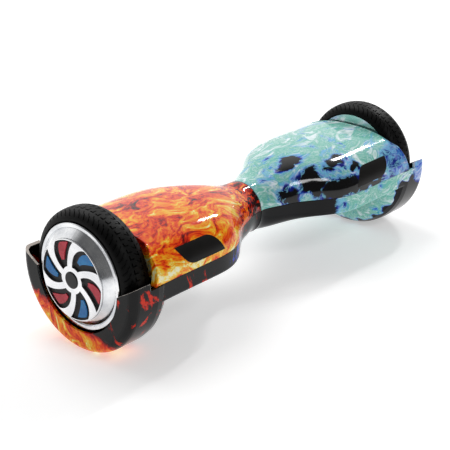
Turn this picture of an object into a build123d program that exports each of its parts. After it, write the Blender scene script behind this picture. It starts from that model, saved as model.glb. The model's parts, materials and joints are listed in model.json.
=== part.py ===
"""Two-wheel self-balancing board, turned over so that it rests on its two fenders.

The X axis runs along the wheel axle, +Z is up and the floor is Z = 0. The flame-printed half is at -X,
the ice-printed half at +X, and the face with the light windows looks along -Y. Every half is drawn once,
with its wheel at +X, and the flame half is its mirror image.
"""
import math
import os

from build123d import *

# ---------------------------------------------------------------- driving dimensions, millimetres
AXLE_HEIGHT = 95.5          # wheel axis above the floor
PARTING = 99.5              # joint plane between the bottom cover and the top cover
PARTING_GAP = 0.25          # half of the shadow gap at the joint plane
WALL = 3.0                  # cover wall
NECK_GAP = 0.7              # half of the gap between the two necks
COVER_END = 262.0           # outboard end of the covers' sides
WELL_START = 247.0          # inboard wall of the wheel well
END_WALL = 243.5            # inside face of the covers' end wall
DECK_DEPTH = 24.5           # foot deck below the joint plane

TYRE_RADIUS = 82.5
TYRE_CENTRE = 272.0         # middle of the tread along the axle
TYRE_HALF_WIDTH = 22.5
TYRE_SEAT = 66.0
BEAD_TOP = 68.6
RIM_LIP_RADIUS = 67.45
RIM_INNER_LIP = 68.0
HUB_PLATE_RADIUS = 51.75
HUB_FACE = 306.9
HUB_COVER_THICK = 2.9
HUB_BACKING_THICK = 1.0
SPOKES = 6

FENDER_RADIUS = 97.3
FENDER_OUTER = 300.2
FENDER_WALL = 2.8
FENDER_LIP_RADIUS = 69.5
FENDER_END = (74.8, 95.6)   # a point of the fender's slanted end cut: across, height
FENDER_END_SLOPE = 0.6      # rise of the end cut going outwards
EAR_START = 272.5           # the fender's ends stand above the joint plane from here outboard
FENDER_CORNER = 10.5

AXLE_RADIUS = 8.0
BEARING_RADIUS = 16.0
PIVOT_RADIUS = 18.0
PIVOT_BORE = 14.0
PIVOT_RUN_CLEARANCE = 0.05
HUB_RADIUS = 27.0
HUB_LENGTH = 42.0

PLATE_BOTTOM = 79.2         # frame platform
PLATE_THICK = 4.0
MAT_BOTTOM = 73.6
MAT_THICK = 3.6
SWITCH_AT = (160.0, 38.0)   # foot-switch plungers, along and across the deck
SWITCH_RADIUS = 5.0

BUTTON_AT = (150.0, 112.0)  # power button on the back face: along the axle, height
SOCKET_AT = (192.0, 112.0)  # charging socket
POCKET_RADIUS = 11.5
POCKET_FLOOR = 87.5

PARTS = {}


def keep(name, shape):
    """File a finished piece under its node name."""
    PARTS[name] = shape


def flame(shape):
    """Mirror a piece of the +X half into the flame half."""
    return mirror(shape, about=Plane.YZ)


def rod(start, end, radius):
    """Round bar between two points."""
    axis = Vector(*end) - Vector(*start)
    plane = Plane(origin=start, z_dir=axis)
    return Solid.make_cylinder(radius, axis.length, plane)


def tube(start, end, outer, inner):
    """Round pipe between two points."""
    return rod(start, end, outer) - rod(start, end, inner)


def block(x, y, z):
    """Box from three (low, high) pairs."""
    size = [pair[1] - pair[0] for pair in (x, y, z)]
    return Pos(x[0], y[0], z[0]) * Box(*size, align=(Align.MIN, Align.MIN, Align.MIN))


def turned(outline):
    """Solid of revolution about the axle from (along, radius) points joined by straight lines."""
    points = [(u, 0, AXLE_HEIGHT + r) for u, r in outline]
    face = Face(Wire.make_polygon(points, close=True))
    return revolve(face, axis=Axis((0, 0, AXLE_HEIGHT), (1, 0, 0)))


# ---------------------------------------------------------------- body shape
# Stations every STATION_STEP along the axle, from the middle outwards: (half width, crown height above the
# joint plane, belly depth below it, crown exponent where 2 is round, radius of the belly's corners).
STATION_STEP = 20.0
STATIONS = [
    (36.0, 32.0, 40.0, 2.0, 35.5),
    (38.8, 32.6, 39.0, 2.05, 34.0),
    (46.2, 36.6, 35.6, 2.2, 27.5),
    (55.0, 42.3, 30.5, 2.3, 18.5),
    (68.3, 46.1, 26.6, 2.4, 10.5),
    (82.3, 48.7, 24.8, 2.4, 6.0),
    (90.6, 50.5, DECK_DEPTH, 2.4, 4.5),
    (93.8, 51.6, DECK_DEPTH, 2.4, 4.5),
    (94.3, 52.0, DECK_DEPTH, 2.4, 4.5),
    (94.3, 52.0, DECK_DEPTH, 2.4, 4.5),
    (94.3, 51.9, DECK_DEPTH, 2.4, 4.5),
    (94.3, 51.5, DECK_DEPTH, 2.4, 4.5),
    (94.6, 51.1, DECK_DEPTH, 2.4, 4.5),
    (95.2, 51.0, DECK_DEPTH, 2.4, 4.5),
    (95.8, 51.0, DECK_DEPTH, 2.4, 4.5),
]
SECTION_ANGLES = [0, 15, 30, 45, 60, 75, 90]


def crown_section(at, half_width, height, exponent):
    """Closed domed cross-section standing on the joint plane."""
    angles = SECTION_ANGLES + [180 - angle for angle in reversed(SECTION_ANGLES[:-1])]
    points = []
    for angle in angles:
        c = math.cos(math.radians(angle))
        s = math.sin(math.radians(angle))
        reach = (abs(c) ** exponent + abs(s) ** exponent) ** (-1 / exponent)
        points.append((at, half_width * reach * c, PARTING + height * reach * s))
    dome = Spline(*points, tangents=((0, 0, 1), (0, 0, -1)), tangent_scalars=(1, 1))
    return Wire([dome, Line(points[-1], points[0])])


def belly_section(at, half_width, depth, corner):
    """Closed cross-section hanging from the joint plane: straight sides, round corners, flat bottom."""
    floor = PARTING - depth
    side, bottom = half_width - corner, floor + corner
    bend = corner * math.sqrt(0.5)
    right = ThreePointArc((at, half_width, bottom), (at, side + bend, bottom - bend), (at, side, floor))
    left = ThreePointArc((at, -side, floor), (at, -side - bend, bottom - bend), (at, -half_width, bottom))
    return Wire([
        Line((at, half_width, PARTING), (at, half_width, bottom)), right, Line((at, side, floor), (at, -side, floor)),
        left, Line((at, -half_width, bottom), (at, -half_width, PARTING)),
        Line((at, -half_width, PARTING), (at, half_width, PARTING)),
    ])


def body_loft(upper, inset=0.0, last=COVER_END):
    """Crown (upper) or belly of a half up to a distance along the axle; inset shrinks it by the wall."""
    wires = []
    for index, (width, crown, belly, exponent, corner) in enumerate(STATIONS):
        at = index * STATION_STEP
        if upper:
            wires.append(crown_section(at, width - inset, crown - inset, exponent))
        else:
            wires.append(belly_section(at, width - inset, belly - inset, max(corner - inset, 1.5)))
    return Solid.make_loft(wires) & block((0, last), (-150, 150), (0, 250))


CROWN = body_loft(upper=True)
CROWN_INSIDE = body_loft(upper=True, inset=WALL, last=END_WALL)
BELLY = body_loft(upper=False)
BELLY_INSIDE = body_loft(upper=False, inset=WALL, last=END_WALL)

# Space swept by the wheel, with a running gap all round.
WHEEL_WELL = turned([
    (WELL_START, 0), (WELL_START, 78), (249.0, 83), (253.0, 86), (260.0, 87), (400, 87), (400, 0),
])
AXLE_HOLE = rod((200, 0, AXLE_HEIGHT), (WELL_START + 1, 0, AXLE_HEIGHT), 13.0)


# ---------------------------------------------------------------- light window
def window_prism(grow=0.0):
    """Leaf-shaped light window seen from the front: two sharp corners and two well rounded ones."""
    low, high = 107.8 - grow, 130.5 + grow
    wheel, centre = 216.0 + grow, 138.0 - grow
    plane = Plane(origin=(0, 0, 0), x_dir=(1, 0, 0), z_dir=(0, -1, 0))
    top = Line((wheel, high), (165, high))
    centre_side = Spline((165, high), (150 - grow, 125.5), (centre, low), tangents=((-1, 0), (-0.45, -1)))
    bottom = Line((centre, low), (189, low))
    wheel_side = Spline((189, low), (204 + grow, 112.8), (wheel, high), tangents=((1, 0), (0.45, 1)))
    outline = Wire([top, centre_side, bottom, wheel_side])
    return extrude(plane * Face(outline), 110)


# ---------------------------------------------------------------- bottom cover (printed underside)
POST_AT = [(112.0, 58.0), (206.0, 60.0)]


def screw_places():
    """Both sides of every cover screw."""
    return [(u, side * v) for u, v in POST_AT for side in (-1, 1)]


def bottom_cover():
    """Domed underside shell with the wheel arch, window opening and inside screw posts."""
    shell = CROWN - CROWN_INSIDE
    arch = rod((358, -150, 140), (358, 150, 140), 104)
    shell = shell - WHEEL_WELL - arch - AXLE_HOLE - window_prism(0.2)
    shell = shell - block((-1, COVER_END + 1), (-150, 150), (0, PARTING + PARTING_GAP))
    shell = shell - block((-1, NECK_GAP), (-150, 150), (0, 250))
    post_bottom = PLATE_BOTTOM + PLATE_THICK + 0.1
    for u, v in screw_places():
        post = rod((u, v, PARTING), (u, v, 200), 4.5) & (CROWN_INSIDE + Pos(0, 0, 0.5) * CROWN_INSIDE)
        post = post + rod((u, v, post_bottom), (u, v, PARTING + 5), 4.5)
        shell = shell + (post - rod((u, v, post_bottom - 1), (u, v, post_bottom + 17), 1.9))
    return shell


def pocket(at):
    """Round pocket of the back face: the cutter, and the floor disc that closes it."""
    u, z = at
    cutter = rod((u, POCKET_FLOOR, z), (u, 120, z), POCKET_RADIUS)
    floor = rod((u, POCKET_FLOOR - WALL, z), (u, POCKET_FLOOR, z), POCKET_RADIUS + 2.5)
    return cutter, floor & CROWN


def with_back_controls(shell):
    """Add the power button and charging pockets to a bottom cover."""
    for at, hole in ((BUTTON_AT, 6.3), (SOCKET_AT, 8.0)):
        cutter, floor = pocket(at)
        shell = shell - cutter + floor
        shell = shell - rod((at[0], 70, at[1]), (at[0], POCKET_FLOOR + 1, at[1]), hole)
    return shell


# ---------------------------------------------------------------- top cover with its fender
def fender_outside():
    """Body of revolution round the lower half of the wheel."""
    corner = [
        (FENDER_OUTER - FENDER_CORNER * (1 - math.sin(math.radians(a))),
         FENDER_RADIUS - FENDER_CORNER * (1 - math.cos(math.radians(a))))
        for a in range(0, 91, 15)
    ]
    inner_side = [(219, 0), (220, 40), (223.5, 62), (229, 77), (235, 86), (242, 92), (250, 96), (259, FENDER_RADIUS)]
    return turned(inner_side + corner + [(FENDER_OUTER + 0.4, FENDER_LIP_RADIUS), (FENDER_OUTER + 0.4, 0)])


def fender_inside():
    """Hollow of the fender: the wheel's space and the thin-walled inboard side."""
    outer_face = FENDER_OUTER - FENDER_WALL
    top = FENDER_RADIUS - 3.6
    wheel_space = turned([
        (WELL_START, 0), (WELL_START, 82), (251, 89), (260, top), (outer_face - 8, top), (outer_face - 2.4, top - 2.4),
        (outer_face, top - 8), (outer_face, FENDER_LIP_RADIUS), (320, FENDER_LIP_RADIUS), (320, 0),
    ])
    inboard = turned([(222, 0), (223, 40), (226.3, 60), (231.5, 74), (237, 82), (END_WALL, 87.5), (END_WALL, 0)])
    return wheel_space, inboard


def fender_end_cut():
    """Space above the fender's two ends, which are cut off on a slant."""
    across, height = FENDER_END
    inner, outer = -15.0, 60.0
    points = [(side * (across + step), height + FENDER_END_SLOPE * step)
              for side, steps in ((-1, (outer, inner)), (1, (inner, outer))) for step in steps]
    points += [(across + outer, 200), (-across - outer, 200)]
    plane = Plane(origin=(COVER_END + 0.8, 0, 0), x_dir=(0, 1, 0), z_dir=(1, 0, 0))
    return extrude(plane * make_face(Polyline(*points, close=True)), 60)


def mat_outline(grow):
    """Foot-mat outline on the deck: a long rounded rectangle."""
    return RectangleRounded(110 + 2 * grow, 144 + 2 * grow, 24 + grow)


def status_prism():
    """Oval status window between the foot mats."""
    return Pos(84, 0, 60) * extrude(Ellipse(12, 8), 30)


def top_cover():
    """Foot deck, side skirt and fender in one moulding, open on the joint plane."""
    wheel_space, inboard = fender_inside()
    body = BELLY & block((0, COVER_END), (-150, 150), (0, PARTING - PARTING_GAP))
    guard = fender_outside() & block((200, 320), (-150, 150), (0, PARTING - PARTING_GAP))
    ears = fender_outside() & block((EAR_START, 320), (-150, 150), (PARTING - 1, 120))
    shell = body + (guard + ears - fender_end_cut())
    shell = shell - BELLY_INSIDE - wheel_space - inboard - AXLE_HOLE
    shell = shell - Pos(159, 0, 60) * extrude(mat_outline(0.6), 19)
    return shell - block((-1, NECK_GAP), (-150, 150), (0, 250))


def foot_mat():
    """Rubber mat in the deck opening, with raised grip ribs on the foot side."""
    mat = Pos(159, 0, MAT_BOTTOM + 0.8) * extrude(mat_outline(0), MAT_THICK - 0.8)
    for row in range(-5, 6):
        rib_length = 92 if abs(row) < 5 else 70
        mat = mat + Pos(159, row * 12.5, MAT_BOTTOM) * extrude(SlotOverall(rib_length, 5), 1.0)
    return mat


def foot_switches():
    """Plungers under the mat that reach through the frame to the sensor board."""
    u, v = SWITCH_AT
    low = MAT_BOTTOM + MAT_THICK
    return Compound([rod((u, side * v, low), (u, side * v, low + 7), SWITCH_RADIUS) for side in (-1, 1)])


# ---------------------------------------------------------------- frame and pivot
def frame(bore):
    """Cast frame half: pivot hub, platform, ribs and axle seat."""
    top = PLATE_BOTTOM + PLATE_THICK
    outline = Polyline((56, -34), (92, -62), (110, -72), (236, -72), (236, 72), (110, 72), (92, 62), (56, 34),
                       close=True)
    plate = Pos(0, 0, PLATE_BOTTOM) * extrude(make_face(outline), PLATE_THICK)
    hub = rod((1, 0, AXLE_HEIGHT), (HUB_LENGTH, 0, AXLE_HEIGHT), HUB_RADIUS)
    web = block((34, 64), (-25, 25), (PLATE_BOTTOM, AXLE_HEIGHT + 8))
    seat = block((206, 238), (-19, 19), (top, AXLE_HEIGHT - 0.5))
    body = plate + hub + web + seat
    for side in (-1, 1):
        for low, high in ((72, 142), (178, 204)):
            body = body + block((low, high), (side * 30 - 2.5, side * 30 + 2.5), (top, 92))
    body = body - rod((0, 0, AXLE_HEIGHT), (70, 0, AXLE_HEIGHT), bore)
    body = body - rod((HUB_LENGTH, 0, AXLE_HEIGHT), (70, 0, AXLE_HEIGHT), PIVOT_RADIUS + 4.5)
    body = body - rod((200, 0, AXLE_HEIGHT), (240, 0, AXLE_HEIGHT), AXLE_RADIUS)
    u, v = SWITCH_AT
    for side in (-1, 1):
        body = body - rod((u, side * v, 70), (u, side * v, 90), SWITCH_RADIUS + 0.6)
    for x, y in clamp_bolt_places():
        body = body - rod((x, y, top - 1), (x, y, AXLE_HEIGHT), 2.5)
    for x, y in screw_places():
        body = body - rod((x, y, 70), (x, y, 90), 2.1) - rod((x, y, 70), (x, y, PLATE_BOTTOM + 2.8), 4.0)
    return body


def clamp_bolt_places():
    """Four bolts of the axle clamp."""
    return [(u, side * 13.5) for u in (213, 231) for side in (-1, 1)]


def axle_clamp():
    """Saddle that holds the axle down on its seat."""
    body = block((207, 237), (-19, 19), (AXLE_HEIGHT + 0.5, AXLE_HEIGHT + 13))
    body = body - rod((200, 0, AXLE_HEIGHT), (240, 0, AXLE_HEIGHT), AXLE_RADIUS)
    for x, y in clamp_bolt_places():
        body = body - rod((x, y, 90), (x, y, 120), 2.7)
    return body


def clamp_bolts():
    """Socket-head bolts of one clamp."""
    bolts = []
    seat = AXLE_HEIGHT + 13
    for x, y in clamp_bolt_places():
        bolt = rod((x, y, PLATE_BOTTOM + PLATE_THICK), (x, y, seat), 2.5) + rod((x, y, seat), (x, y, seat + 5), 4.3)
        bolts.append(bolt - rod((x, y, seat + 2.5), (x, y, seat + 6), 2.0))
    return Compound(bolts)


def cover_screws():
    """Countersunk-height screws that pull the bottom cover down on the frame."""
    screws = []
    for x, y in screw_places():
        head = PLATE_BOTTOM + 0.3
        screw = rod((x, y, head), (x, y, head + 2.5), 3.7) + rod((x, y, head), (x, y, head + 20), 1.9)
        screws.append(screw - rod((x, y, head - 1), (x, y, head + 1.4), 1.5))
    return Compound(screws)


def pivot_tube():
    """Hollow shaft pressed in the flame hub; the ice half turns on it. A groove takes the retaining ring."""
    shaft = tube((-HUB_LENGTH, 0, AXLE_HEIGHT), (HUB_LENGTH + 5, 0, AXLE_HEIGHT), PIVOT_RADIUS, PIVOT_BORE)
    groove = tube((HUB_LENGTH + 1.2, 0, AXLE_HEIGHT), (HUB_LENGTH + 2.8, 0, AXLE_HEIGHT),
                  PIVOT_RADIUS + 3, PIVOT_RADIUS - 1.2)
    return shaft - groove


def pivot_ring():
    """Open retaining ring in the shaft's groove."""
    ring = tube((HUB_LENGTH + 1.3, 0, AXLE_HEIGHT), (HUB_LENGTH + 2.7, 0, AXLE_HEIGHT),
                PIVOT_RADIUS + 3.5, PIVOT_RADIUS - 1.2)
    return ring - block((HUB_LENGTH, HUB_LENGTH + 5), (-4, 4), (AXLE_HEIGHT + 5, AXLE_HEIGHT + 30))


# ---------------------------------------------------------------- wheel (drawn at +X, outboard is +X)
def tyre():
    """Solid rubber tyre: flat seat, bead shoulders and a rounded crown."""
    outline = [(254.8, TYRE_SEAT), (254.8, BEAD_TOP)]
    base = 63.5
    for angle in range(165, 14, -5):
        c = math.cos(math.radians(angle))
        s = math.sin(math.radians(angle))
        reach = (abs(c) ** 2.7 + abs(s) ** 2.7) ** (-1 / 2.7)
        outline.append((TYRE_CENTRE + TYRE_HALF_WIDTH * reach * c, base + (TYRE_RADIUS - base) * reach * s))
    outline = [p for p in outline if p[1] >= BEAD_TOP or p[0] == 254.8]
    return turned(outline + [(290.4, BEAD_TOP), (290.4, TYRE_SEAT)])


def rim():
    """Aluminium motor rotor: tyre seat with two lips, sloping outer wall and closed outer plate."""
    plate = HUB_FACE - HUB_COVER_THICK - HUB_BACKING_THICK
    ring = turned([
        (251, 54.5), (251, RIM_INNER_LIP), (254, RIM_INNER_LIP), (254.8, TYRE_SEAT), (290.4, TYRE_SEAT),
        (291.2, RIM_LIP_RADIUS), (294.4, RIM_LIP_RADIUS), (295.4, RIM_LIP_RADIUS - 1), (295.4, 62.6),
        (294.6, 61.8), (304.9, HUB_PLATE_RADIUS + 0.9), (304.9, HUB_PLATE_RADIUS + 0.2),
        (plate, HUB_PLATE_RADIUS + 0.2), (plate, 0), (299, 0), (299, BEARING_RADIUS), (291, BEARING_RADIUS),
        (291, 21), (298.5, 21), (298.5, 45), (289, 54.5),
    ])
    return ring


def swirl_curve(points):
    """Spline through (radius, degrees) points of the hub face."""
    return Spline(*[(r * math.cos(math.radians(a)), r * math.sin(math.radians(a))) for r, a in points])


def swirl(leading, trailing, turn):
    """Curved opening between two swirl edges, turned about the hub."""
    start = [leading[0], trailing[0]]
    end = [leading[-1], trailing[-1]]
    middle = [((a[0] + b[0]) / 2, (a[1] + b[1]) / 2) for a, b in (start, end)]
    edges = [
        swirl_curve(leading),
        swirl_curve([end[0], middle[1], end[1]]),
        swirl_curve(trailing),
        swirl_curve([start[0], middle[0], start[1]]),
    ]
    plane = Plane(origin=(0, 0, AXLE_HEIGHT), x_dir=(0, 1, 0), z_dir=(1, 0, 0))
    return plane * (Rot(0, 0, turn) * make_face(edges))


OPENING_EDGES = (
    [(17.0, 24.0), (25.0, 23.5), (34.0, 19.5), (43.0, 11.5), (50.2, 1.0)],
    [(17.6, -9.0), (25.0, -17.0), (34.0, -24.0), (43.0, -30.0), (50.2, -35.5)],
)
INSERT_EDGES = (
    [(27.0, 9.0), (33.0, 8.0), (41.0, 3.5), (47.5, -4.0)],
    [(26.0, -1.0), (33.0, -9.0), (40.0, -16.5), (47.5, -22.5)],
)


def hub_cover():
    """Silver swirl cover: six curved openings round a hole for the centre cap."""
    low = HUB_FACE - HUB_COVER_THICK
    cover = turned([(low, 0), (low, HUB_PLATE_RADIUS), (HUB_FACE - 0.6, HUB_PLATE_RADIUS),
                    (HUB_FACE, HUB_PLATE_RADIUS - 0.6), (HUB_FACE, 0)])
    for spoke in range(SPOKES):
        opening = swirl(*OPENING_EDGES, turn=spoke * 360 / SPOKES)
        cover = cover - Pos(low - 1, 0, 0) * extrude(opening, HUB_COVER_THICK + 3, dir=(1, 0, 0))
    return cover - rod((low - 1, 0, AXLE_HEIGHT), (HUB_FACE + 1, 0, AXLE_HEIGHT), 10.8)


def hub_inserts(first):
    """Three coloured inserts, every second opening of the cover."""
    low = HUB_FACE - HUB_COVER_THICK
    pieces = []
    for spoke in range(first, SPOKES, 2):
        face = swirl(*INSERT_EDGES, turn=spoke * 360 / SPOKES)
        pieces.append(Pos(low, 0, 0) * extrude(face, 1.3, dir=(1, 0, 0)))
    return Compound([piece.solid() for piece in pieces])


def stator():
    """Wound core: ring with teeth on a spider."""
    plane = Plane(origin=(261, 0, AXLE_HEIGHT), x_dir=(0, 1, 0), z_dir=(1, 0, 0))
    core = Circle(38) - Circle(24)
    for tooth in range(27):
        core = core + Rot(0, 0, tooth * 360 / 27) * (Pos(44, 0) * Rectangle(13, 6))
    body = extrude(plane * core, 22)
    return body + tube((268, 0, AXLE_HEIGHT), (276, 0, AXLE_HEIGHT), 25, AXLE_RADIUS)


def bearings():
    """Inner and outer motor bearings."""
    spans = ((252.0, 260.0), (291.0, 299.0))
    return Compound([
        tube((low, 0, AXLE_HEIGHT), (high, 0, AXLE_HEIGHT), BEARING_RADIUS, AXLE_RADIUS + 0.05).solid()
        for low, high in spans
    ])


def motor_cover():
    """Inboard cover of the motor with its bearing seat."""
    return turned([(252, BEARING_RADIUS), (252, 54.4), (255.5, 54.4), (255.5, 21), (260, 21), (260, BEARING_RADIUS)])


def wheel_pieces():
    """All pieces of one wheel by name."""
    low = HUB_FACE - HUB_COVER_THICK
    centre = (0, AXLE_HEIGHT)
    return {
        "tyre": tyre(),
        "rim": rim(),
        "magnet_ring": tube((259, *centre), (286, *centre), 54.5, 51.4),
        "stator": stator(),
        "axle": rod((200, *centre), (298.5, *centre), AXLE_RADIUS),
        "motor_cover": motor_cover(),
        "bearings": bearings(),
        "hub_cover": hub_cover(),
        "hub_backing": rod((low - HUB_BACKING_THICK, *centre), (low, *centre), HUB_PLATE_RADIUS - 0.4),
        "hub_red_inserts": hub_inserts(0),
        "hub_blue_inserts": hub_inserts(1),
        "centre_cap": turned([(low, 0), (low, 10.7), (HUB_FACE + 0.5, 10.7), (HUB_FACE + 1.1, 9.6),
                              (HUB_FACE + 1.1, 0)]),
    }


# ---------------------------------------------------------------- electrics
def light_board():
    """Lamp board behind the light window."""
    board = block((150, 204), (-80.0, -78.4), (110, 128))
    for lamp in range(5):
        x = 157 + lamp * 10
        board = board + block((x, x + 5), (-81.6, -80.0), (116.5, 121.5))
    return board


def sensor_board():
    """Balance-sensor board with an optical switch over each plunger."""
    u, v = SWITCH_AT
    board = block((148, 172), (-50, 50), (89.0, 90.6))
    for side in (-1, 1):
        board = board + block((u - 6, u + 6), (side * v - 4, side * v + 4), (86.4, 89.0))
    return board


def control_board():
    """Main board with its transistor bar, capacitors and connectors."""
    board = block((76, 142), (-27, 27), (92.2, 93.8))
    board = board + block((80, 138), (-27, -19), (93.8, 108))
    for x in (92, 108, 124):
        board = board + rod((x, 14, 93.8), (x, 14, 112), 6)
    for x in (88, 104, 120):
        board = board + block((x, x + 9), (-8, -1), (93.8, 100))
    return board


def lead(points, radius, bend):
    """Round cable along straight runs joined by arcs."""
    path = FilletPolyline(*points, radius=bend) if len(points) > 2 else Line(*points)
    start = Vector(*points[0])
    plane = Plane(origin=start, z_dir=Vector(*points[1]) - start)
    return sweep(plane * Circle(radius), path=path)


def electrics():
    """Everything that is in one half only, drawn at +X; the flame half's pieces are mirrored later."""
    z = AXLE_HEIGHT
    u, height = BUTTON_AT
    cu, cz = SOCKET_AT
    socket = rod((cu, 79, cz), (cu, POCKET_FLOOR + 0.5, cz), 7.9)
    socket = socket - rod((cu, 82, cz), (cu, POCKET_FLOOR + 1, cz), 6.4)
    for turn in (90, 210, 330):
        px = cu + 2.6 * math.cos(math.radians(turn))
        pz = cz + 2.6 * math.sin(math.radians(turn))
        socket = socket + rod((px, 81.5, pz), (px, 83.0, pz), 0.8)
    cap = rod((cu, POCKET_FLOOR + 0.9, cz), (cu, POCKET_FLOOR + 3.1, cz), 10.4)
    cap = cap + block((cu - 4, cu + 4), (POCKET_FLOOR + 0.9, POCKET_FLOOR + 3.1), (cz + 8, cz + 12.5))
    cap = cap + rod((cu - 4, POCKET_FLOOR + 2.4, cz + 12.5), (cu + 4, POCKET_FLOOR + 2.4, cz + 12.5), 1.5)
    return {
        "power_button": rod((u, 80, height), (u, POCKET_FLOOR + 3.0, height), 6.0),
        "charging_socket": socket,
        "charging_cap": cap,
        "status_window": (BELLY - BELLY_INSIDE) & status_prism(),
        "control_board": control_board(),
        "speaker": rod((134, 50, 83.2), (134, 50, 92), 12) - rod((134, 50, 90.5), (134, 50, 93), 9),
        "flame_motor_lead": lead([(200, 0, z), (160, 0, z), (143, 0, z + 4)], 3.0, 10),
    }


def build():
    """Model every piece and file it under its node name."""
    cover, upper, mat = bottom_cover(), top_cover(), foot_mat()
    window = (CROWN - CROWN_INSIDE) & window_prism()
    shared = {
        "foot_mat": mat,
        "foot_switches": foot_switches(),
        "axle_clamp": axle_clamp(),
        "clamp_bolts": clamp_bolts(),
        "cover_screws": cover_screws(),
        "light_window": window,
        "light_board": light_board(),
        "sensor_board": sensor_board(),
    }
    for name, shape in shared.items():
        keep("ice_" + name, shape)
        keep("flame_" + name, flame(shape))
    keep("ice_bottom_cover", cover)
    keep("flame_bottom_cover", flame(with_back_controls(cover)))
    keep("ice_top_cover", upper)
    keep("flame_top_cover", flame(upper - status_prism()))
    keep("ice_frame", frame(PIVOT_RADIUS + 3.0))
    keep("flame_frame", flame(frame(PIVOT_RADIUS)))
    keep("pivot_tube", pivot_tube())
    keep("pivot_ring", pivot_ring())
    centre = (0, AXLE_HEIGHT)
    keep("pivot_bushing", tube((2, *centre), (HUB_LENGTH, *centre), PIVOT_RADIUS + 3.0, PIVOT_RADIUS + PIVOT_RUN_CLEARANCE))
    for name, shape in wheel_pieces().items():
        keep("ice_" + name, shape)
        keep("flame_" + name, shape.rotate(Axis.Z, 180))
    for name, shape in electrics().items():
        keep(name, flame(shape))
    z = AXLE_HEIGHT
    keep("battery_pack", block((74, 186), (-35, 35), (92.2, 136)))
    keep("wire_harness", lead([(-72, 0, z), (60, 0, z)], 5.0, 10) + rod((60, 0, z), (65, 0, z), 7.0))
    keep("ice_motor_lead", lead([(200, 0, z), (193, 0, z), (193, 44, z), (69, 44, z), (69, 8, z)], 2.6, 6.5))


def write_parts():
    """One STEP file for each node."""
    os.makedirs("parts", exist_ok=True)
    for name, shape in PARTS.items():
        export_step(shape, f"parts/{name}.step")


if __name__ == "__main__":
    build()
    write_parts()
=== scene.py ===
"""Self-balancing board, turned over so that it rests on its two fenders.

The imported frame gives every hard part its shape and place. This file dresses each part in its finish and adds
the pieces that moulding tools give the real board: tyres with a cut tread and rolled beads round the wheel
arches. Metres throughout, +Z up, the axles along X, the flame half at -X and the ice half at +X, the light
windows towards -Y.
"""

import json
import logging
import math
from dataclasses import dataclass
from enum import Enum
from typing import Any, Callable

import bmesh
import bpy
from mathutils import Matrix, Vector

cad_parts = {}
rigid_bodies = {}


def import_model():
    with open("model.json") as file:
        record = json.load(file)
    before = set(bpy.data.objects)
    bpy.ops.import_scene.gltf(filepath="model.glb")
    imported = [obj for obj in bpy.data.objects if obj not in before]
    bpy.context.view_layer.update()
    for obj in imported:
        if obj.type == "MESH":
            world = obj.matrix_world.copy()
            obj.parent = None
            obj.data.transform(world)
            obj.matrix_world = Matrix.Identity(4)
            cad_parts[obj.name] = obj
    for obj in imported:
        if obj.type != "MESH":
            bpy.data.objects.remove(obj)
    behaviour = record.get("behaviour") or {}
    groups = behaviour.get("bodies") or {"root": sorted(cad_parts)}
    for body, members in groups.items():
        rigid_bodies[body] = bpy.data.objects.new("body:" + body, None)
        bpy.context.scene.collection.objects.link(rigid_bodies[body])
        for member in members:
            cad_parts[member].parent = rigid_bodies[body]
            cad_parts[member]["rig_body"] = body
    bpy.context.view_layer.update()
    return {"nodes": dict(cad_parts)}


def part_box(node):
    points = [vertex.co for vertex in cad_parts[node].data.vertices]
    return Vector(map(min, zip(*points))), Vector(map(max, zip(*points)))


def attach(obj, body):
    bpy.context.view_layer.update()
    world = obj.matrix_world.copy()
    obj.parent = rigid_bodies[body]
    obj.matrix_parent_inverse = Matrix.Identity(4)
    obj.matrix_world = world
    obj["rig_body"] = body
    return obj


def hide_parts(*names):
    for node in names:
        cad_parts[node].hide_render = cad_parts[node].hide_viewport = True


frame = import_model()

LOG = logging.getLogger("board")
Colour = tuple[float, float, float, float]
Spot = tuple[float, float, float]
MM = 0.001

AXLE_HEIGHT = 95.5 * MM
SEAM_HEIGHT = 99.9 * MM
FENDER_END = (74.8 * MM, 95.6 * MM)
FENDER_SLOPE = 0.6
FENDER_INBOARD = 262.0 * MM
EAR_INBOARD = 272.7 * MM
COVER_GLOSS = 0.42
SKIRT_GLOSS = 0.2


def paint(code: str) -> Colour:
    """Linear colour from a six-digit paint code.

    Args:
        code: red, green and blue as three pairs of hexadecimal digits.

    Returns:
        The colour as linear red, green, blue and alpha.
    """
    parts = [int(code[i:i + 2], 16) / 255 for i in (0, 2, 4)]
    linear = [p / 12.92 if p <= 0.04045 else ((p + 0.055) / 1.055) ** 2.4 for p in parts]
    return (linear[0], linear[1], linear[2], 1.0)


class Side(Enum):
    """The two halves of the board, with the direction of each along the axle."""

    FLAME = -1
    ICE = 1

    @property
    def word(self) -> str:
        """First word of the half's node names."""
        return self.name.lower()


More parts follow.
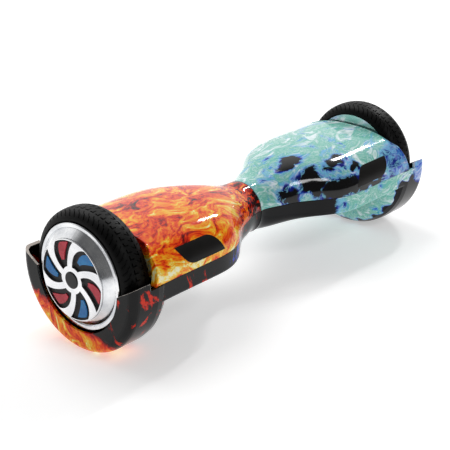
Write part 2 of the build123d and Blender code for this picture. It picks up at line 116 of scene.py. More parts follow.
# ------------------------------------------------------------------ shader formulas
class Value:
    """A number that varies over a surface. Arithmetic on it adds Math nodes."""

    def __init__(self, sheet: "Sheet", socket: Any) -> None:
        """Keep the sheet of nodes and the output socket."""
        self.sheet = sheet
        self.socket = socket

    def __add__(self, other: Any) -> "Value":
        """Sum."""
        return self.sheet.maths("ADD", self, other)

    __radd__ = __add__

    def __sub__(self, other: Any) -> "Value":
        """Difference."""
        return self.sheet.maths("SUBTRACT", self, other)

    def __rsub__(self, other: Any) -> "Value":
        """Difference, the other way round."""
        return self.sheet.maths("SUBTRACT", other, self)

    def __mul__(self, other: Any) -> "Value":
        """Product."""
        return self.sheet.maths("MULTIPLY", self, other)

    __rmul__ = __mul__

    def __abs__(self) -> "Value":
        """Size without the sign."""
        return self.sheet.maths("ABSOLUTE", self)

    def clamped(self) -> "Value":
        """The value held between 0 and 1."""
        return self.sheet.node("ShaderNodeClamp", {}, {"Value": self})

    def step(self, low: float, high: float) -> "Value":
        """Smooth change from 0 at low to 1 at high; low may be the larger one."""
        return self.sheet.node("ShaderNodeMapRange", {"interpolation_type": "SMOOTHSTEP"},
                               {"Value": self, "From Min": low, "From Max": high})


class Sheet:
    """The node sheet of one material."""

    def __init__(self, owner: bpy.types.Material | bpy.types.World, shader: str = "Principled BSDF") -> None:
        """Open the owner's nodes and find its shader.

        Args:
            owner: the material or world whose nodes are written.
            shader: name of its shader node.
        """
        self.owner = owner
        self.owner.use_nodes = True
        self.tree = self.owner.node_tree
        self.shader = self.tree.nodes[shader]

    def node(self, kind: str, settings: dict[str, Any], sockets: dict[Any, Any], out: Any = 0) -> Value:
        """Add a node.

        Args:
            kind: the node's type.
            settings: its properties, or "stops" for a colour ramp.
            sockets: a value or a link for each input, by name or number.
            out: the output to return.

        Returns:
            The chosen output as a value.
        """
        made = self.tree.nodes.new(kind)
        for name, setting in settings.items():
            if name == "stops":
                self._ramp(made.color_ramp, setting)
            else:
                setattr(made, name, setting)
        for key, given in sockets.items():
            if isinstance(given, Value):
                self.tree.links.new(given.socket, made.inputs[key])
            else:
                made.inputs[key].default_value = given
        return Value(self, made.outputs[out])

    @staticmethod
    def _ramp(ramp: Any, stops: list[tuple[float, str]]) -> None:
        """Set a colour ramp's stops.

        Args:
            ramp: the node's ramp.
            stops: position and paint code of each stop.
        """
        while len(ramp.elements) > 1:
            ramp.elements.remove(ramp.elements[-1])
        ramp.elements[0].position, ramp.elements[0].color = stops[0][0], paint(stops[0][1])
        for position, code in stops[1:]:
            ramp.elements.new(position).color = paint(code)

    def maths(self, operation: str, *terms: Any) -> Value:
        """A Math node on values or numbers."""
        return self.node("ShaderNodeMath", {"operation": operation}, dict(enumerate(terms)))

    def vector(self, operation: str, sockets: dict[Any, Any]) -> Value:
        """A Vector Math node."""
        return self.node("ShaderNodeVectorMath", {"operation": operation}, sockets)

    def place(self) -> Value:
        """Position on the object, in metres."""
        return self.node("ShaderNodeTexCoord", {}, {}, "Object")

    def split(self, place: Value) -> tuple[Value, Value, Value]:
        """The three parts of a position.

        Args:
            place: the position.

        Returns:
            Its parts along X, Y and Z.
        """
        made = self.tree.nodes.new("ShaderNodeSeparateXYZ")
        self.tree.links.new(place.socket, made.inputs[0])
        x, y, z = (Value(self, out) for out in made.outputs)
        return x, y, z

    def stretched(self, place: Value, by: Spot) -> Value:
        """A position multiplied along each axis."""
        return self.vector("MULTIPLY", {0: place, 1: by})

    def noise(self, place: Value, scale: float, detail: float = 3.0, rough: float = 0.5,
              twist: float = 0.0) -> Value:
        """Cloudy noise around 0.5."""
        sockets = {"Vector": place, "Scale": scale, "Detail": detail, "Roughness": rough, "Distortion": twist}
        return self.node("ShaderNodeTexNoise", {}, sockets)

    def drifted(self, place: Value, scale: float, reach: float) -> Value:
        """A position pushed about by slow noise, which curls whatever pattern is laid on it.

        Args:
            place: the position.
            scale: how many waves of drift there are to the metre.
            reach: how far the drift carries, in metres.

        Returns:
            The drifted position.
        """
        drift = self.node("ShaderNodeTexNoise", {}, {"Vector": place, "Scale": scale, "Detail": 1.0}, "Color")
        centred = self.vector("SUBTRACT", {0: drift, 1: (0.5, 0.5, 0.5)})
        return self.vector("ADD", {0: place, 1: self.vector("SCALE", {0: centred, "Scale": reach})})

    def ramp(self, value: Value, stops: list[tuple[float, str]]) -> Value:
        """Colour from a value."""
        return self.node("ShaderNodeValToRGB", {"stops": stops}, {"Fac": value})

    def mix(self, share: Any, first: Any, second: Any) -> Value:
        """Blend of two colours."""
        return self.node("ShaderNodeMix", {"data_type": "RGBA"}, {0: share, 6: first, 7: second}, 2)

    def mix_value(self, share: Value, first: Any, second: Any) -> Value:
        """Blend of two numbers."""
        return self.node("ShaderNodeMix", {"data_type": "FLOAT"}, {0: share, 2: first, 3: second}, 0)

    def spot(self, place: Value, centre: Spot, reach: Spot) -> Value:
        """Rounded spot.

        Args:
            place: the position.
            centre: the spot's middle.
            reach: its half sizes along X, Y and Z.

        Returns:
            1 at the centre, falling to 0 at the reach and below 0 past it.
        """
        offset = self.vector("SUBTRACT", {0: place, 1: centre})
        share = self.vector("DIVIDE", {0: offset, 1: reach})
        return 1 - self.node("ShaderNodeVectorMath", {"operation": "LENGTH"}, {0: share}, "Value")

    def bump(self, height: Value, depth: float, strength: float = 1.0) -> Value:
        """Relief from a height of 0 to 1 that stands for a depth in metres."""
        return self.node("ShaderNodeBump", {}, {"Height": height, "Distance": depth, "Strength": strength})

    def feed(self, **sockets: Any) -> None:
        """Link or set the shader's own inputs.

        Args:
            sockets: a value or a link for each input, with underscores for the spaces in its name.
        """
        for key, given in sockets.items():
            socket = self.shader.inputs[key.replace("_", " ")]
            if isinstance(given, Value):
                self.tree.links.new(given.socket, socket)
            else:
                socket.default_value = given


# ------------------------------------------------------------------ finishes
class Finish:
    """A finish that is mixed once and then used on any number of pieces."""

    name: str

    def mixed(self) -> bpy.types.Material:
        """Mix the finish the first time it is asked for.

        Returns:
            The finish's material.
        """
        known = bpy.data.materials.get(self.name)
        if known is not None:
            return known
        sheet = Sheet(bpy.data.materials.new(self.name))
        self.write(sheet)
        return sheet.owner

    def write(self, sheet: Sheet) -> None:
        """Write the finish on its sheet."""
        raise NotImplementedError


@dataclass(frozen=True)
class Moulded(Finish):
    """Moulded plastic or rubber: grain, faint mottling and worn gloss."""

    name: str
    dark: str
    light: str
    rough: float = 0.45
    grain: float = 900.0
    relief: float = 0.00008
    metal: float = 0.0
    spec: float = 0.5

    def write(self, sheet: Sheet) -> None:
        """Mottled colour, uneven gloss and fine grain.

        Args:
            sheet: the sheet that takes the nodes.
        """
        place = sheet.place()
        cloud = sheet.noise(place, 26.0, 5.0, 0.6)
        fine = sheet.noise(place, self.grain, 2.0, 0.6)
        colour = sheet.mix(cloud.step(0.35, 0.68), paint(self.dark), paint(self.light))
        gloss = (cloud - 0.5) * 0.16 + (fine - 0.5) * 0.1 + self.rough
        sheet.feed(Base_Color=colour, Roughness=gloss.clamped(), Metallic=self.metal,
                   Specular_IOR_Level=self.spec, Normal=sheet.bump(fine, self.relief, 0.6))


@dataclass(frozen=True)
class Turned(Finish):
    """Turned or polished metal: fine rings about an axle and soft smears."""

    name: str
    tone: str = "e8e9ec"
    shade: str = "b9bcc2"
    rough: float = 0.12
    rings: float = 1600.0

    def write(self, sheet: Sheet) -> None:
        """Ringed gloss on bright metal.

        Args:
            sheet: the sheet that takes the nodes.
        """
        place = sheet.place()
        _, y, z = sheet.split(place)
        rise = z - AXLE_HEIGHT
        radius = sheet.maths("SQRT", y * y + rise * rise)
        ring = sheet.maths("SINE", radius * self.rings * math.pi) * 0.5 + 0.5
        smear = sheet.noise(place, 38.0, 4.0, 0.6)
        colour = sheet.mix(smear.step(0.3, 0.72), paint(self.shade), paint(self.tone))
        gloss = ring * 0.05 + (smear - 0.5) * 0.12 + self.rough
        sheet.feed(Base_Color=colour, Metallic=1.0, Roughness=gloss.clamped(),
                   Normal=sheet.bump(ring, 0.000004, 0.4))


@dataclass(frozen=True)
class Lacquer(Finish):
    """Glossy enamel over a cast or moulded piece, with faint orange peel."""

    name: str
    dark: str
    light: str
    rough: float = 0.18

    def write(self, sheet: Sheet) -> None:
        """Soft tone changes under a clear coat.

        Args:
            sheet: the sheet that takes the nodes.
        """
        place = sheet.place()
        tone = sheet.noise(place, 60.0, 3.0, 0.5)
        peel = sheet.noise(place, 420.0, 1.0, 0.4)
        scuff = sheet.noise(sheet.stretched(place, (1.0, 1.0, 7.0)), 140.0, 4.0, 0.7).step(0.6, 0.75)
        colour = sheet.mix(tone.step(0.3, 0.7), paint(self.dark), paint(self.light))
        sheet.feed(Base_Color=colour, Roughness=(scuff * 0.2 + self.rough).clamped(), Coat_Weight=0.15,
                   Coat_Roughness=0.05, Specular_IOR_Level=0.25, Normal=sheet.bump(peel, 0.00002, 0.5))


def raw_edge(place: Value, sheet: Sheet) -> Value:
    """Bare plastic on the slanted ends of the fenders, where the print was trimmed.

    Args:
        place: position on the top cover.
        sheet: the sheet that takes the nodes.

    Returns:
        1 on the trimmed ends and 0 elsewhere.
    """
    x, y, z = sheet.split(place)
    out, rise = FENDER_END
    above = z - abs(y) * FENDER_SLOPE - (rise - FENDER_SLOPE * out)
    slanted = above.step(-0.3 * MM, -0.1 * MM)
    well_side = abs(x).step(EAR_INBOARD + 0.1 * MM, EAR_INBOARD - 0.1 * MM)
    inner = well_side * z.step(SEAM_HEIGHT - 0.2 * MM, SEAM_HEIGHT)
    outboard = abs(x).step(FENDER_INBOARD, FENDER_INBOARD + MM)
    return sheet.maths("MAXIMUM", slanted, inner) * outboard


FLAME_RAMP = [(0.0, "160403"), (0.18, "5a0a04"), (0.3, "bd1a05"), (0.42, "ea3406"), (0.55, "fb6307"),
              (0.67, "ff9810"), (0.8, "ffcd2e"), (0.92, "ffee86"), (1.0, "fffad0")]


@dataclass(frozen=True)
class FlamePrint(Finish):
    """Transfer print of fire under clear lacquer; the skirt is black with stray red tongues."""

    name: str
    skirt: bool

    def write(self, sheet: Sheet) -> None:
        """Curled fire on the cover, or black with embers on the skirt and fender.

        Args:
            sheet: the sheet that takes the nodes.
        """
        place = sheet.place()
        x, _, z = sheet.split(place)
        neck = x.step(-0.085, -0.04)
        slow = sheet.drifted(place, 9.0, 0.09)
        curl = sheet.drifted(slow, 34.0, 0.022)
        tongues = sheet.noise(sheet.stretched(curl, (34.0, 66.0, 66.0)), 1.0, 6.0, 0.64, 0.9)
        threads = sheet.noise(sheet.stretched(curl, (70.0, 160.0, 160.0)), 1.0, 4.0, 0.6, 1.0)
        filament = 1 - abs(threads - 0.5) * 9
        clouds = sheet.noise(slow, 13.0, 2.0, 0.5)
        heat = tongues * 2.1 + clouds * 0.8 - 1.02 + filament.clamped() * 0.14
        if self.skirt:
            heat = self._embers(sheet, place, heat, curl)
        else:
            low_front = z.step(0.145, 0.105) * x.step(-0.1, -0.16)
            coals = sheet.noise(slow, 20.0, 3.0, 0.6).step(0.52, 0.66) * (1 - low_front)
            heat = heat + low_front * 0.2 - coals * 0.14 - neck * 0.2 + neck * (threads - 0.5) * 2.0 + 0.06
        fire = sheet.ramp(heat.clamped(), FLAME_RAMP)
        if self.skirt:
            charcoal = sheet.mix(heat.step(0.05, 0.24), paint("0e0e0f"), fire)
            line = 1 - abs(sheet.noise(sheet.drifted(place, 40.0, 0.02), 60.0, 1.0) - 0.5) * 16
            corner = sheet.spot(place, (-0.102, -0.085, 0.086), (0.03, 0.03, 0.02)).step(0.0, 0.5)
            outline = line.clamped() * corner
            fire = sheet.mix(outline, charcoal, paint("1f4fd0"))
            fire = sheet.mix(raw_edge(place, sheet), fire, paint("e9dfd6"))
        peel = sheet.noise(place, 260.0, 1.0, 0.4)
        dust = sheet.noise(place, 90.0, 5.0, 0.7)
        sheet.feed(Base_Color=fire, Roughness=dust * 0.06 + 0.04, Normal=sheet.bump(peel, 0.00002, 0.3),
                   Specular_IOR_Level=SKIRT_GLOSS if self.skirt else COVER_GLOSS)

    @staticmethod
    def _embers(sheet: Sheet, place: Value, heat: Value, curl: Value) -> Value:
        """Heat of the skirt.

        Args:
            sheet: the sheet that takes the nodes.
            place: position on the skirt.
            heat: heat of the fire that the cover has.
            curl: curled position.

        Returns:
            Full fire low on the fender's outer side and thin red tongues elsewhere.
        """
        x, y, z = sheet.split(place)
        fender = x.step(-0.235, -0.262)
        belly = (y * 0.27 + 0.035 - z).step(-0.012, 0.014)
        tongue = sheet.noise(sheet.stretched(curl, (60.0, 60.0, 22.0)), 1.0, 4.0, 0.6).step(0.56, 0.68)
        return sheet.mix_value(fender * belly, tongue * 0.36, heat + 0.12)


ICE_SHADES = [(0.0, "6cc4b4"), (0.2, "4fb4c6"), (0.34, "2f97e2"), (0.47, "1552d6"), (0.6, "081c86"),
              (0.74, "05070f"), (1.0, "040405")]


@dataclass(frozen=True)
class IcePrint(Finish):
    """Transfer print of ice under clear lacquer, with deep blue and black hollows low on the front."""

    name: str
    skirt: bool

    def write(self, sheet: Sheet) -> None:
        """Pale swirls over depth shades.

        Args:
            sheet: the sheet that takes the nodes.
        """
        place = sheet.place()
        slow = sheet.drifted(place, 10.0, 0.07)
        curl = sheet.drifted(slow, 38.0, 0.02)
        wisp = sheet.noise(sheet.stretched(curl, (26.0, 60.0, 66.0)), 1.0, 7.0, 0.66, 1.2)
        blot = sheet.noise(curl, 46.0, 4.0, 0.62)
        ragged = sheet.drifted(place, 55.0, 0.03)
        patches = sheet.noise(slow, 16.0, 2.0).step(0.48, 0.66)
        depth = (blot - 0.54) * 3.2 + patches * 0.26
        if self.skirt:
            depth = self._skirt_depth(sheet, ragged, blot, depth)
        else:
            depth = self._cover_depth(sheet, ragged, blot, depth)
        shades = sheet.ramp(depth.clamped(), ICE_SHADES)
        shallow = 1 - depth.step(0.35, 0.6)
        pale = (wisp.step(0.47, 0.68) + (1 - abs(wisp - 0.44) * 30).clamped() * 0.5).clamped() * shallow
        green = sheet.noise(slow, 30.0, 3.0).step(0.35, 0.65)
        tinted = sheet.mix(green * shallow * 0.5, shades, paint("74c2ae"))
        light = sheet.mix(pale, tinted, paint("eefbff"))
        vein = (1 - abs(wisp - 0.5) * 22).clamped() * depth.step(0.15, 0.4) * (1 - depth.step(0.66, 0.78))
        colour = sheet.mix(vein * 0.75, light, paint("8fe0f4"))
        if self.skirt:
            colour = sheet.mix(raw_edge(place, sheet), colour, paint("d9e4e6"))
        peel = sheet.noise(place, 260.0, 1.0, 0.4)
        dust = sheet.noise(place, 90.0, 5.0, 0.7)
        sheet.feed(Base_Color=colour, Roughness=dust * 0.06 + 0.04, Normal=sheet.bump(peel, 0.00002, 0.3),
                   Specular_IOR_Level=SKIRT_GLOSS if self.skirt else COVER_GLOSS)

    @staticmethod
    def _cover_depth(sheet: Sheet, ragged: Value, blot: Value, depth: Value) -> Value:
        """Depth of shade on the cover.

        Args:
            sheet: the sheet that takes the nodes.
            ragged: position with ragged drift.
            blot: small blots.
            depth: depth of the open print.

        Returns:
            The depth, with hollows low on the front and navy at the wheel end.
        """
        hollows = [
            ((0.075, -0.022, 0.143), (0.028, 0.013, 0.014)),
            ((0.127, -0.062, 0.140), (0.026, 0.013, 0.012)),
            ((0.152, -0.079, 0.134), (0.014, 0.010, 0.010)),
            ((0.077, -0.058, 0.124), (0.024, 0.024, 0.022)),
            ((0.046, -0.046, 0.108), (0.018, 0.030, 0.018)),
            ((0.112, -0.085, 0.111), (0.046, 0.030, 0.019)),
            ((0.165, -0.094, 0.104), (0.040, 0.016, 0.010)),
        ]
        deep = depth
        for centre, reach in hollows:
            hollow = sheet.spot(ragged, centre, reach) * 1.15 + (blot - 0.5) * 1.1 + 0.4
            deep = sheet.maths("MAXIMUM", deep, hollow)
        x, y, z = sheet.split(ragged)
        wheel_end = x.step(0.2, 0.222) * z.step(0.147, 0.132) * y.step(-0.045, -0.06)
        low_wheel = x.step(0.19, 0.215) * z.step(0.118, 0.108) * y.step(-0.05, -0.07)
        share = sheet.maths("MAXIMUM", wheel_end, low_wheel)
        return sheet.maths("MAXIMUM", deep, share * (blot * 0.9 + 0.1))

    @staticmethod
    def _skirt_depth(sheet: Sheet, ragged: Value, blot: Value, depth: Value) -> Value:
        """Depth of shade on the skirt.

        Args:
            sheet: the sheet that takes the nodes.
            ragged: position with ragged drift.
            blot: small blots.
            depth: depth of the open print.

        Returns:
            The depth: black by the neck, pale by the wheel and a black fender with a blue tip.
        """
        x, _, z = sheet.split(ragged)
        neck = x.step(0.128, 0.088)
        outer = x.step(0.236, 0.244) * z.step(0.094, 0.086)
        tip = sheet.spot(ragged, (0.285, -0.094, 0.1), (0.03, 0.03, 0.03)).step(0.0, 0.5)
        fender = sheet.maths("MAXIMUM", x.step(0.262, 0.27), outer) * (1 - tip * 0.5)
        dark = sheet.maths("MAXIMUM", neck, fender)
        return sheet.maths("MAXIMUM", depth, dark * (1.06 - blot * 0.3))


@dataclass(frozen=True)
class CircuitBoard(Finish):
    """Green board with tracks and solder."""

    name: str = "circuit_board"

    def write(self, sheet: Sheet) -> None:
        """Tracks from stepped cells over green mask.

        Args:
            sheet: the sheet that takes the nodes.
        """
        place = sheet.place()
        cells = sheet.node("ShaderNodeTexVoronoi", {"distance": "MANHATTAN", "feature": "F1"},
                           {"Vector": place, "Scale": 260.0}, "Distance")
        track = cells.step(0.34, 0.38)
        colour = sheet.mix(track, paint("0f4a26"), paint("1c6b38"))
        sheet.feed(Base_Color=colour, Roughness=track * 0.15 + 0.3, Normal=sheet.bump(track, 0.00004, 0.8))


@dataclass(frozen=True)
class Wound(Finish):
    """Copper windings on laminated steel."""

    name: str = "wound_core"

    def write(self, sheet: Sheet) -> None:
        """Fine turns of copper, with painted shade darkening the gaps between turns.

        Args:
            sheet: the sheet that takes the nodes.
        """
        place = sheet.place()
        x, _, _ = sheet.split(place)
        turn = sheet.maths("SINE", x * 5200.0) * 0.5 + 0.5
        cloud = sheet.noise(place, 60.0, 3.0)
        # painted shade: the dark copper falls in the gaps between turns, where the sine of the turns is low
        colour = sheet.mix((turn * 0.7 + cloud * 0.4).clamped(), paint("5b2c12"), paint("c87a3c"))
        sheet.feed(Base_Color=colour, Metallic=0.9, Roughness=cloud * 0.2 + 0.25,
                   Normal=sheet.bump(turn, 0.0002, 0.8))


TYRE_RUBBER = Moulded("tyre_rubber", "020202", "060606", 0.48, 1400.0, 0.00012, spec=0.14)
WINDOW = Moulded("lamp_window", "0d0b0a", "141210", 0.4, 1100.0, 0.00003, spec=0.2)
MAT_RUBBER = Moulded("mat_rubber", "101011", "1c1c1e", 0.7, 900.0, 0.0002)
BLACK_PLASTIC = Moulded("black_plastic", "131314", "1e1e20", 0.42, 1100.0, 0.00006)
CAP_PLASTIC = Moulded("cap_plastic", "131214", "1e1c1e", 0.4, 900.0, 0.00005, spec=0.3)
RECESS = Moulded("hub_recess", "121011", "1b1819", 0.5, 900.0, 0.00008, spec=0.3)
CAST = Moulded("cast_frame", "8b8e91", "a6a9ac", 0.42, 500.0, 0.0003, metal=0.85)
STEEL = Turned("steel", "c9cbce", "a0a3a8", 0.24, 900.0)
MAGNET = Moulded("magnet_steel", "55585c", "74777b", 0.3, 700.0, 0.00005, metal=0.9)
RIM_METAL = Turned("polished_rim", "f2f3f4", "cfd1d5", 0.14, 1600.0)
HUB_METAL = Turned("hub_silver", "f2f2f3", "dcdde0", 0.2, 700.0)
RED = Lacquer("hub_red", "b4182c", "c93044")
BLUE = Lacquer("hub_blue", "0a68ac", "1f86c4")
WRAP = Lacquer("battery_wrap", "15407a", "1d5396", 0.3)
SMOKED = Lacquer("status_lens", "0c1014", "1a2128", 0.1)
CABLE = Moulded("cable_sleeve", "0e0e0f", "1b1b1c", 0.55, 800.0, 0.0001)

DRESS: dict[str, Finish] = {
    "frame": CAST, "light_window": WINDOW, "light_board": CircuitBoard(), "sensor_board": CircuitBoard(),
    "axle_clamp": CAST, "clamp_bolts": STEEL, "cover_screws": STEEL, "axle": STEEL, "stator": Wound(),
    "motor_lead": CABLE, "tyre": TYRE_RUBBER, "rim": RIM_METAL, "magnet_ring": MAGNET, "motor_cover": CAST,
    "bearings": STEEL, "hub_cover": HUB_METAL, "hub_backing": RECESS, "hub_red_inserts": RED,
    "hub_blue_inserts": BLUE, "centre_cap": CAP_PLASTIC, "foot_mat": MAT_RUBBER,
    "foot_switches": BLACK_PLASTIC,
}
SINGLE_DRESS: dict[str, Finish] = {
    "pivot_tube": STEEL, "pivot_ring": STEEL, "pivot_bushing": Moulded("bushing", "c8c2b4", "dcd7ca", 0.4),
    "control_board": CircuitBoard(), "speaker": BLACK_PLASTIC, "charging_socket": STEEL,
    "charging_cap": MAT_RUBBER, "power_button": BLACK_PLASTIC, "status_window": SMOKED, "wire_harness": CABLE,
    "battery_pack": WRAP,
}


def dress(piece: bpy.types.Object, finish: Finish) -> None:
    """Give a piece one finish all over."""
    piece.data.materials.clear()
    piece.data.materials.append(finish.mixed())


# ------------------------------------------------------------------ modelling by hand
class Bench:
    """Modelling operators with their selection kept in order."""

    @staticmethod
    def clear() -> None:
        """Deselect everything and leave edit mode."""
        if bpy.context.mode != "OBJECT":
            bpy.ops.object.mode_set(mode="OBJECT")
        bpy.ops.object.select_all(action="DESELECT")

    @staticmethod
    def pick(piece: bpy.types.Object) -> None:
        """Make one piece the only one selected.

        Args:
            piece: the piece.
        """
        Bench.clear()
        piece.select_set(True)
        bpy.context.view_layer.objects.active = piece

    @staticmethod
    def edit(piece: bpy.types.Object) -> None:
        """Open a piece for editing with nothing selected.

        Args:
            piece: the piece.
        """
        Bench.pick(piece)
        bpy.ops.object.mode_set(mode="EDIT")
        bpy.ops.mesh.select_all(action="DESELECT")

    @staticmethod
    def select_faces(piece: bpy.types.Object, wanted: Callable[[Any], bool]) -> None:
        """Select the faces that answer a question.

        Args:
            piece: the piece that is open for editing, with nothing selected.
            wanted: says of a face whether it is to be selected.
        """
        bpy.ops.mesh.select_mode(type="FACE")
        for face in bmesh.from_edit_mesh(piece.data).faces:
            face.select_set(wanted(face))
        bmesh.update_edit_mesh(piece.data)

    @staticmethod
    def settle(piece: bpy.types.Object, angle: float) -> bpy.types.Object:
        """Apply the piece's place, merge doubles, point faces outwards and smooth it.

        Args:
            piece: the piece.
            angle: faces that meet at less than this, in degrees, are shaded as one.

        Returns:
            The same piece.
        """
        Bench.pick(piece)
        bpy.ops.object.transform_apply(location=True, rotation=True, scale=True)
        bpy.ops.object.mode_set(mode="EDIT")
        bpy.ops.mesh.select_all(action="SELECT")
        bpy.ops.mesh.remove_doubles(threshold=0.00001)
        bpy.ops.mesh.normals_make_consistent(inside=False)
        bpy.ops.object.mode_set(mode="OBJECT")
        bpy.ops.object.shade_smooth_by_angle(angle=math.radians(angle))
        Bench.clear()
        return piece


def rounded_reach(c: float, s: float, roundness: float) -> float:
    """How far a rounded square of half size 1 reaches in a direction.

    Args:
        c: cosine of the direction.
        s: its sine.
        roundness: 2 for a circle, more for a squarer shape.

    Returns:
        The reach, between 1 and the square root of 2.
    """
    return (abs(c) ** roundness + abs(s) ** roundness) ** (-1 / roundness)


@dataclass
class Tyre:
    """Solid rubber tyre with a cut tread, standing for the plain imported one."""

    side: Side
    pitches: int = 60
    steps_per_pitch: int = 6
    groove: float = 2.2 * MM
    lean: float = 0.085
    wave: float = 0.35
    roundness: float = 2.7
    seat: float = 66.05 * MM
    bead: float = 68.6 * MM
    shoulder_base: float = 63.5 * MM
    inboard: float = -17.2 * MM
    outboard: float = 18.4 * MM
    tread_share: float = 0.905
    middle_sipes: tuple[float, float] = (0.08, 0.3)
    notches: tuple[float, float] = (0.3, 0.38)
    shoulder_sipes: float = 0.52

    def build(self) -> bpy.types.Object:
        """Spin the tyre's section and sink its grooves.

        Returns:
            The finished tyre.
        """
        low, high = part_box(f"{self.side.word}_tyre")
        centre = (low + high) / 2
        half, outer = (high.x - low.x) / 2, (high.z - low.z) / 2
        piece = self._spun(centre, self._section(half, outer))
        self._lean_tread(piece, centre, half)
        self._cut(piece, centre, half, outer)
        piece = Bench.settle(piece, 32.0)
        dress(piece, TYRE_RUBBER)
        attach(piece, f"{self.side.word}_wheel")
        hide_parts(f"{self.side.word}_tyre")
        return piece

    def _section(self, half: float, outer: float) -> list[tuple[float, float]]:
        """Section from the inboard bead over the tread to the outboard bead.

        Args:
            half: half of the tyre's width.
            outer: radius over the tread.

        Returns:
            Its corners as distance along the axle and radius.
        """
        dome = []
        for angle in range(166, 13, -4):
            c, s = math.cos(math.radians(angle)), math.sin(math.radians(angle))
            reach = rounded_reach(c, s, self.roundness)
            radius = self.shoulder_base + (outer - self.shoulder_base) * reach * s
            if radius > self.bead:
                dome.append((half * reach * c, radius))
        start = [(self.inboard, self.seat), (self.inboard, self.bead)]
        return start + dome + [(self.outboard, self.bead), (self.outboard, self.seat)]

    def _spun(self, centre: Vector, section: list[tuple[float, float]]) -> bpy.types.Object:
        """Lay the section out from one vertex by extrusion and spin it round the axle.

        Args:
            centre: middle of the tyre.
            section: corners of the closed section as distance along the axle and radius.

        Returns:
            The plain tyre.
        """
        Bench.clear()
        bpy.ops.mesh.primitive_plane_add(size=0.01, location=(0, 0, 0))
        piece = bpy.context.object
        piece.name = f"{self.side.word}_tyre_tread"
        bpy.ops.object.mode_set(mode="EDIT")
        bpy.ops.mesh.select_mode(type="VERT")
        bpy.ops.mesh.select_all(action="SELECT")
        bpy.ops.mesh.merge(type="CENTER")
        start = Vector((centre.x + section[0][0], centre.y, centre.z + section[0][1]))
        bpy.ops.transform.translate(value=start)
        for here, there in zip(section, section[1:] + section[:1]):
            bpy.ops.mesh.extrude_region_move(TRANSFORM_OT_translate={
                "value": (there[0] - here[0], 0, there[1] - here[1])})
        bpy.ops.mesh.select_all(action="SELECT")
        bpy.ops.mesh.remove_doubles(threshold=0.00001)
        bpy.ops.mesh.select_all(action="SELECT")
        bpy.ops.mesh.spin(steps=self.pitches * self.steps_per_pitch, dupli=False, angle=2 * math.pi,
                          center=tuple(centre), axis=(1, 0, 0))
        bpy.ops.mesh.select_all(action="SELECT")
        bpy.ops.mesh.remove_doubles(threshold=0.00001)
        bpy.ops.mesh.normals_make_consistent(inside=False)
        bpy.ops.object.mode_set(mode="OBJECT")
        return piece

    def _lean_tread(self, piece: bpy.types.Object, centre: Vector, half: float) -> None:
        """Turn the tread's rows about the axle so that its blocks lean back from the middle in a V.

        Args:
            piece: the plain tyre.
            centre: middle of the tyre.
            half: half of its width.
        """
        for vertex in piece.data.vertices:
            turn = self._turn((vertex.co.x - centre.x) / half)
            y, z = vertex.co.y - centre.y, vertex.co.z - centre.z
            vertex.co.y = centre.y + y * math.cos(turn) - z * math.sin(turn)
            vertex.co.z = centre.z + y * math.sin(turn) + z * math.cos(turn)

    def _turn(self, across: float) -> float:
        """Turn of a row, in radians, from its share of the half width."""
        return (abs(across) + math.sin(across * math.pi * 1.5) * self.wave) * self.lean

    def _cut(self, piece: bpy.types.Object, centre: Vector, half: float, outer: float) -> None:
        """Sink the sipes of the shoulders and the middle and the notches between the blocks.

        Args:
            piece: the leaning tyre.
            centre: middle of the tyre.
            half: half of its width.
            outer: radius over the tread.
        """
        Bench.edit(piece)
        count = self.pitches * self.steps_per_pitch

        def sunk(face: Any) -> bool:
            """Whether a face lies on the bottom of a groove.

            Args:
                face: a face of the leaning tyre.

            Returns:
                True for a face that is to be sunk.
            """
            place = face.calc_center_median()
            across = (place.x - centre.x) / half
            y, z = place.y - centre.y, place.z - centre.z
            radius = math.hypot(y, z)
            if radius < outer * self.tread_share or face.normal.dot(Vector((0, y, z))) < 0.2 * radius:
                return False
            turn = math.atan2(z, y) - self._turn(across)
            step = int((turn / (2 * math.pi) * count) % count + 0.5) % self.steps_per_pitch
            edge = abs(across)
            if edge > self.shoulder_sipes:
                return step == 0
            if self.notches[0] < edge <= self.notches[1]:
                return step < 4
            return self.middle_sipes[0] < edge <= self.middle_sipes[1] and step == 3

        Bench.select_faces(piece, sunk)
        bpy.ops.mesh.extrude_region_shrink_fatten(TRANSFORM_OT_shrink_fatten={"value": -self.groove})
        bpy.ops.object.mode_set(mode="OBJECT")


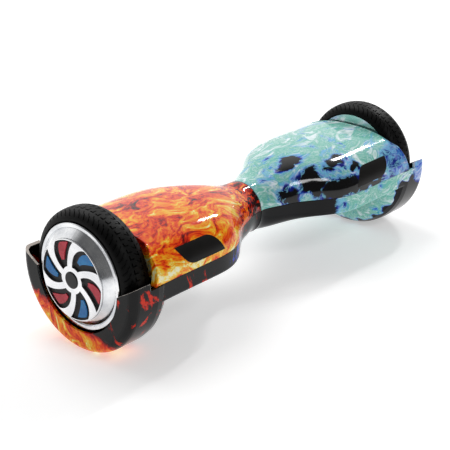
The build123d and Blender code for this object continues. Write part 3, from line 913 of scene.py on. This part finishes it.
@dataclass
class ArchBead:
    """Rolled bead along the wheel-side edge of a bottom cover."""

    side: Side
    radius: float = 1.1 * MM
    half_width: float = 94.9 * MM
    crown: float = 50.2 * MM
    roundness: float = 2.4
    points: int = 72
    seam_gap: float = 0.004
    arch_centre: tuple[float, float] = (358.0 * MM, 140.0 * MM)
    arch_radius: float = 104.0 * MM
    well_radii: tuple[float, ...] = (78.0 * MM, 83.0 * MM, 86.0 * MM, 87.0 * MM)
    well_depths: tuple[float, ...] = (247.0 * MM, 249.0 * MM, 253.0 * MM, 262.0 * MM)

    def build(self) -> bpy.types.Object:
        """Run a round bead over the crown from seam to seam.

        Returns:
            The finished bead.
        """
        word = self.side.word
        Bench.clear()
        line = bpy.data.curves.new(f"{word}_arch_bead", "CURVE")
        line.dimensions, line.use_fill_caps = "3D", True
        line.bevel_depth, line.bevel_resolution = self.radius, 2
        spline = line.splines.new("POLY")
        shares = [i / (self.points - 1) for i in range(self.points)]
        path = [self._point(math.pi * (self.seam_gap + (1 - 2 * self.seam_gap) * share)) for share in shares]
        spline.points.add(len(path) - 1)
        for point, place in zip(spline.points, path):
            point.co = (*place, 1.0)
        piece = bpy.data.objects.new(line.name, line)
        bpy.context.scene.collection.objects.link(piece)
        Bench.pick(piece)
        bpy.ops.object.convert(target="MESH")
        piece = Bench.settle(bpy.context.object, 60.0)
        piece.name = line.name
        cover = frame["nodes"][f"{word}_bottom_cover"]
        piece.data.materials.clear()
        piece.data.materials.append(cover.data.materials[0])
        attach(piece, cover["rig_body"])
        return piece

    def _point(self, angle: float) -> Spot:
        """A point of the cover's edge, where the arch over the wheel or the wheel's own well cuts it.

        Args:
            angle: from 0 at one seam over the crown to half a turn at the other.

        Returns:
            The point.
        """
        c, s = math.cos(angle), math.sin(angle)
        reach = rounded_reach(c, s, self.roundness)
        y, z = self.half_width * reach * c, SEAM_HEIGHT + self.crown * reach * s
        arch = self.arch_centre[0] - math.sqrt(self.arch_radius ** 2 - (z - self.arch_centre[1]) ** 2)
        well = self._well(math.hypot(y, z - AXLE_HEIGHT))
        return (self.side.value * (min(arch, well, self.well_depths[-1]) - self.radius), y, z)

    def _well(self, out: float) -> float:
        """Distance of the well's inner wall from the board's middle.

        Args:
            out: distance from the axle.

        Returns:
            The distance, larger the further out it is.
        """
        well = self.well_depths[0]
        radii, depths = self.well_radii, self.well_depths
        for start, end, low, high in zip(radii, radii[1:], depths, depths[1:]):
            if out > start:
                well = low + (high - low) * min(1.0, (out - start) / (end - start))
        return well


@dataclass
class Half:
    """One half of the board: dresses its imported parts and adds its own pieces."""

    side: Side

    def build(self) -> list[bpy.types.Object]:
        """Dress the half and make its added pieces.

        Returns:
            The added pieces.
        """
        word = self.side.word
        for part, finish in DRESS.items():
            dress(frame["nodes"][f"{word}_{part}"], finish)
        style = FlamePrint if self.side is Side.FLAME else IcePrint
        dress(frame["nodes"][f"{word}_bottom_cover"], style(f"{word}_cover_print", False))
        dress(frame["nodes"][f"{word}_top_cover"], style(f"{word}_skirt_print", True))
        return [Tyre(self.side).build(), ArchBead(self.side).build()]


@dataclass
class Middle:
    """The pivot, electronics and controls that the board has once."""

    def build(self) -> list[bpy.types.Object]:
        """Dress the single parts.

        Returns:
            No pieces, because none is added.
        """
        for name, finish in SINGLE_DRESS.items():
            dress(frame["nodes"][name], finish)
        return []


# ------------------------------------------------------------------ studio
@dataclass
class Studio:
    """Pale floor, soft lights and the camera."""

    eye: Spot = (-1.21465, -1.04097, 0.74420)
    aim: Spot = (0.69147, 0.60888, -0.38877)
    lens: float = 102.43
    wall: Spot = (0.5, 0.85, 0.0)
    room_glow: float = 0.14
    wall_glow: float = 0.85

    def build(self) -> None:
        """Set the stage."""
        self._floor()
        self._lamp("key_softbox", (0.2, 1.5, 2.4), 1.8, 30.0)
        self._lamp("front_softbox", (-0.15, -1.7, 1.75), 0.5, 9.0)
        self._lamp("strip_box", (2.2, 0.42, 2.04), 0.14, 22.0, 0.68)
        self._world()
        camera = bpy.data.objects.new("camera", bpy.data.cameras.new("camera"))
        camera.location = self.eye
        camera.rotation_euler = Vector(self.aim).to_track_quat("-Z", "Y").to_euler()
        camera.data.lens = self.lens
        camera.data.clip_start, camera.data.clip_end = 0.05, 60.0
        bpy.context.scene.collection.objects.link(camera)
        bpy.context.scene.camera = camera
        bpy.context.scene.view_settings.view_transform = "Standard"

    @staticmethod
    def _floor() -> None:
        """Large white sweep under the board."""
        Bench.clear()
        bpy.ops.mesh.primitive_plane_add(size=30.0, location=(0, 0, 0))
        floor = bpy.context.object
        floor.name = "floor"
        sheet = Sheet(bpy.data.materials.new("floor_paper"))
        fleck = sheet.noise(sheet.place(), 3.0, 3.0)
        sheet.feed(Base_Color=sheet.mix(fleck, paint("e4e4e4"), paint("e8e8e8")), Roughness=0.9)
        sheet.feed(Specular_IOR_Level=0.1, Emission_Color=(1.0, 1.0, 1.0, 1.0), Emission_Strength=0.45)
        floor.data.materials.append(sheet.owner)

    @staticmethod
    def _lamp(name: str, place: Spot, size: float, power: float, tall: float = 0.0) -> None:
        """Softbox aimed at the board's middle.

        Args:
            name: the lamp's name.
            place: where it stands.
            size: its width.
            power: its power in watts.
            tall: its height, if it isn't square.
        """
        lamp = bpy.data.objects.new(name, bpy.data.lights.new(name, "AREA"))
        lamp.data.shape = "RECTANGLE"
        lamp.data.energy, lamp.data.size, lamp.data.size_y = power, size, tall or size
        lamp.location = place
        lamp.rotation_euler = (Vector((0, 0, 0.09)) - Vector(place)).to_track_quat("-Z", "Y").to_euler()
        bpy.context.scene.collection.objects.link(lamp)

    def _world(self) -> None:
        """White wall behind the board, dim room in front of it."""
        world = bpy.data.worlds.new("studio")
        bpy.context.scene.world = world
        sheet = Sheet(world, "Background")
        towards = sheet.node("ShaderNodeTexCoord", {}, {}, "Generated")
        facing = sheet.node("ShaderNodeVectorMath", {"operation": "DOT_PRODUCT"},
                            {0: towards, 1: self.wall}, "Value")
        glow = facing.step(0.1, 0.6) * self.wall_glow + self.room_glow
        sheet.feed(Color=(1.0, 1.0, 1.0, 1.0), Strength=glow)


def main() -> None:
    """Build the board, then the studio."""
    logging.basicConfig(level=logging.INFO)
    for builder in (Half(Side.FLAME), Half(Side.ICE), Middle()):
        for piece in builder.build():
            LOG.info("%s: %d faces", piece.name, len(piece.data.polygons))
    Studio().build()


if __name__ == "__main__":
    main()
